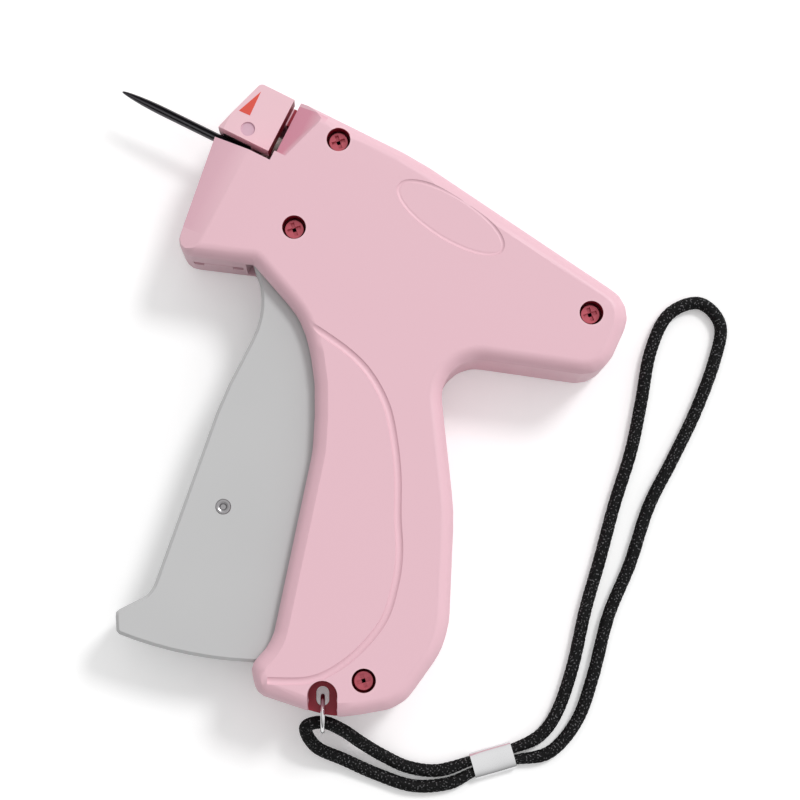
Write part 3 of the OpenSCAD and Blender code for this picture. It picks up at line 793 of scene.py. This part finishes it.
def opened_tree(name, sizes, result):
    """A tree with an input for points and one for each size, and its inputs' sockets."""
    tree = bpy.data.node_groups.new(name, "GeometryNodeTree")
    tree.interface.new_socket("Points", in_out="INPUT", socket_type="NodeSocketGeometry")
    for size in sizes:
        tree.interface.new_socket(size, in_out="INPUT", socket_type="NodeSocketFloat")
    tree.interface.new_socket(result, in_out="OUTPUT", socket_type="NodeSocketGeometry")
    return tree, tree.nodes.new("NodeGroupInput").outputs


def closed_tree(tree, made, material):
    """Ends the tree with one mesh in one finish."""
    real = grown(tree, "GeometryNodeRealizeInstances", {}, made)
    coated = grown(tree, "GeometryNodeSetMaterial", {}, Geometry=real.outputs[0], Material=material)
    grown(tree, "NodeGroupOutput", {}, coated.outputs[0])
    return tree


def modelled(name, tree, sizes, points=()):
    """The plain mesh that a tree makes of the points, with its sizes set."""
    mesh = bpy.data.meshes.new(name + "_points")
    mesh.from_pydata(points, [], [])
    source = linked(name + "_points", mesh)
    maker = source.modifiers.new(name, "NODES")
    maker.node_group = tree
    for item in tree.interface.items_tree:
        if item.name in sizes:
            maker[item.identifier] = sizes[item.name]
    return shaped(source, name, [maker])


# Case screws with a cross recess, set into the left half
SCREW_SIZES = {
    "Head Radius": 2.4 * MM,
    "Head Height": 1.8 * MM,
    "Shank Radius": 1.2 * MM,
    "Shank Length": 14.2 * MM,
    "Recess Width": 0.8 * MM,
    "Recess Depth": 1.0 * MM,
}
SCREW_HEAD_TOP_SHARE = 0.8
SCREW_HEAD_Z = 6.5
SCREW_HEAD_SIDES = 40
SCREW_HEAD_RINGS = 3
SHANK_SIDES = 24
RECESS_L_SHARE = 1.2
RECESS_TURNS_DEG = (45, 135)


def screw_tree():
    """A screw on each point of a mesh: a tapered head with a cross recess on a plain shank."""
    tree, given = opened_tree("cross_recess_screws", SCREW_SIZES, "Screws")

    def times(first, second):
        return grown(tree, "ShaderNodeMath", {"operation": "MULTIPLY"}, first, second).outputs[0]

    top = times(given["Head Radius"], SCREW_HEAD_TOP_SHARE)
    head = grown(tree, "GeometryNodeMeshCone", {}, Vertices=SCREW_HEAD_SIDES,
                 Side_Segments=SCREW_HEAD_RINGS, Radius_Top=top,
                 Radius_Bottom=given["Head Radius"], Depth=given["Head Height"]).outputs["Mesh"]
    shank = grown(tree, "GeometryNodeMeshCone", {}, Vertices=SHANK_SIDES,
                  Radius_Top=given["Shank Radius"], Radius_Bottom=given["Shank Radius"],
                  Depth=given["Shank Length"])
    sunk = grown(tree, "ShaderNodeCombineXYZ", {}, Z=times(given["Shank Length"], -1))
    below = grown(tree, "GeometryNodeTransform", {}, Geometry=shank.outputs["Mesh"],
                  Translation=sunk.outputs[0])
    size = grown(tree, "ShaderNodeCombineXYZ", {}, X=times(given["Head Radius"], RECESS_L_SHARE),
                 Y=given["Recess Width"], Z=times(given["Recess Depth"], 2))
    arm = grown(tree, "GeometryNodeMeshCube", {}, Size=size.outputs[0])
    lift = grown(tree, "ShaderNodeCombineXYZ", {}, Z=given["Head Height"])
    for turn in RECESS_TURNS_DEG:
        placed = grown(tree, "GeometryNodeTransform", {}, Geometry=arm.outputs["Mesh"],
                       Translation=lift.outputs[0], Rotation=(0, 0, math.radians(turn)))
        head = grown(tree, "GeometryNodeMeshBoolean", {"operation": "DIFFERENCE"}, head,
                     placed.outputs[0]).outputs[0]
    whole = grown(tree, "GeometryNodeJoinGeometry", {}, head)
    put(tree, whole.inputs[0], below.outputs[0])
    spread = grown(tree, "GeometryNodeInstanceOnPoints", {}, Points=given["Points"],
                   Instance=whole.outputs[0])
    return closed_tree(tree, spread.outputs[0], FINISHES["screw_steel"])


def case_screws():
    points = [spot(x, y, SCREW_HEAD_Z) for x, y in SCREW_PLACES]
    mesh = modelled("cross_screws", screw_tree(), SCREW_SIZES, points)
    piece("cross_screws", mesh, "screw_steel", "case_screws")


# Return spring between the rod's guide and the slide, which presses it shut
SPRING_FROM = 12.77
SPRING_TO = 57.74
SPRING_SIZES = {
    "Length": (SPRING_TO - SPRING_FROM) * MM,
    "Coil Radius": 2.4 * MM,
    "Wire Radius": 0.28 * MM,
    "Turns": 9.0,
}
COIL_STEPS = 28
WIRE_SIDES = 12


def spring_tree():
    """A round wire wound along the Z axis from zero."""
    tree, given = opened_tree("wound_wire", SPRING_SIZES, "Spring")
    coil = grown(tree, "GeometryNodeCurveSpiral", {}, Resolution=COIL_STEPS, Rotations=given["Turns"],
                 Start_Radius=given["Coil Radius"], End_Radius=given["Coil Radius"],
                 Height=given["Length"])
    wire = grown(tree, "GeometryNodeCurvePrimitiveCircle", {}, Resolution=WIRE_SIDES,
                 Radius=given["Wire Radius"])
    drawn = grown(tree, "GeometryNodeCurveToMesh", {}, Curve=coil.outputs[0],
                  Profile_Curve=wire.outputs[0], Fill_Caps=True)
    return closed_tree(tree, drawn.outputs[0], FINISHES["spring_steel"])


def return_spring():
    start = spot(SPRING_FROM, 0)
    mesh = modelled("push_spring", spring_tree(), SPRING_SIZES)
    mesh.transform(Matrix.Translation(start) @ Matrix.Rotation(math.pi / 2, 4, "Y"))
    for face in mesh.polygons:
        face.use_smooth = True
    made = piece("push_spring", mesh, "spring_steel", "return_spring")
    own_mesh(made)


case_screws()
return_spring()

# Red direction mark let into the head cover
MARK_CORNERS = [(-7.3, 11.82), (-9.64, 6.07), (-7.1, 6.18)]
MARK_LOW = 7.0
MARK_TOP = 7.24


def direction_mark():
    shape = bmesh.new()
    low, high = [[shape.verts.new(spot(x, y, z)) for x, y in MARK_CORNERS] for z in (MARK_LOW, MARK_TOP)]
    shape.faces.new(low)
    shape.faces.new(high)
    joined(shape, low, high, smooth=False)
    finish = plain_finish("mark_red", MARK_RED, 0.45)
    piece("direction_mark", meshed(shape, "direction_mark"), "red_plastic", material=finish)


direction_mark()

# The other solids keep their shape and take their finish
for part in frame["record"]["subparts"]:
    solid = frame["nodes"][part["node"]]
    solid.data.materials.clear()
    solid.data.materials.append(FINISHES[part["material_slot"]])

# Floor, daylight and one soft lamp
FLOOR_HALF = 3.0
FLOOR_WHITE = (0.94, 0.94, 0.94, 1)
FLOOR_ROUGHNESS = 0.8
FLOOR_LIFT = 0.2
WORLD_WHITE = (1, 1, 1, 1)
WORLD_LOW = 0.14
WORLD_RISE = 0.72
WORLD_DARKEST = -0.6
SUN_LEVEL = 1.15
SUN_SOFT = math.radians(14)
SUN_FROM = Vector((0.30, 0.95, 1.25))


def floor():
    mesh = bpy.data.meshes.new("floor")
    corners = [(-1, -1), (1, -1), (1, 1), (-1, 1)]
    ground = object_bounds()[0].z
    mesh.from_pydata([(x * FLOOR_HALF, y * FLOOR_HALF, ground) for x, y in corners], [], [(0, 1, 2, 3)])
    pale = Finish("pale_floor", FLOOR_WHITE, FLOOR_ROUGHNESS)
    seen = Reading(pale, pale.node("ShaderNodeLightPath", {}).outputs["Is Camera Ray"])
    pale.set("Emission Color", seen * FLOOR_LIFT)
    pale.set("Emission Strength", 1.0)
    mesh.materials.append(pale.material)
    linked("floor", mesh)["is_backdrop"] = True


def daylight():
    """White where the camera sees it; as light, brighter on the side that the sun stands."""
    world = bpy.data.worlds.new("daylight")
    world.use_nodes = True
    bpy.context.scene.world = world
    tree = world.node_tree
    for old in list(tree.nodes):
        tree.nodes.remove(old)
    way = grown(tree, "ShaderNodeTexCoord", {}).outputs["Generated"]
    facing = grown(tree, "ShaderNodeVectorMath", {"operation": "DOT_PRODUCT"}, way,
                   SUN_FROM.normalized())
    level = grown(tree, "ShaderNodeMapRange", {"interpolation_type": "SMOOTHSTEP"},
                  Value=facing.outputs["Value"], From_Min=WORLD_DARKEST, From_Max=1.0,
                  To_Min=WORLD_LOW, To_Max=WORLD_LOW + WORLD_RISE)
    plain = grown(tree, "ShaderNodeBackground", {}, Color=WORLD_WHITE, Strength=level.outputs["Result"])
    seen = grown(tree, "ShaderNodeBackground", {}, Color=WORLD_WHITE, Strength=1.0)
    rays = grown(tree, "ShaderNodeLightPath", {}).outputs
    either = grown(tree, "ShaderNodeMath", {"operation": "MAXIMUM"}, rays["Is Camera Ray"],
                   rays["Is Transmission Ray"])
    mix = grown(tree, "ShaderNodeMixShader", {}, either.outputs[0], plain.outputs[0], seen.outputs[0])
    grown(tree, "ShaderNodeOutputWorld", {}, Surface=mix.outputs[0])


def soft_sun():
    data = bpy.data.lights.new("soft_sun", "SUN")
    data.energy = SUN_LEVEL
    data.angle = SUN_SOFT
    lamp = linked("soft_sun", data)
    lamp.rotation_mode = "QUATERNION"
    lamp.rotation_quaternion = SUN_FROM.to_track_quat("Z", "Y")


floor()
daylight()
soft_sun()
bpy.context.scene.view_settings.view_transform = "Standard"
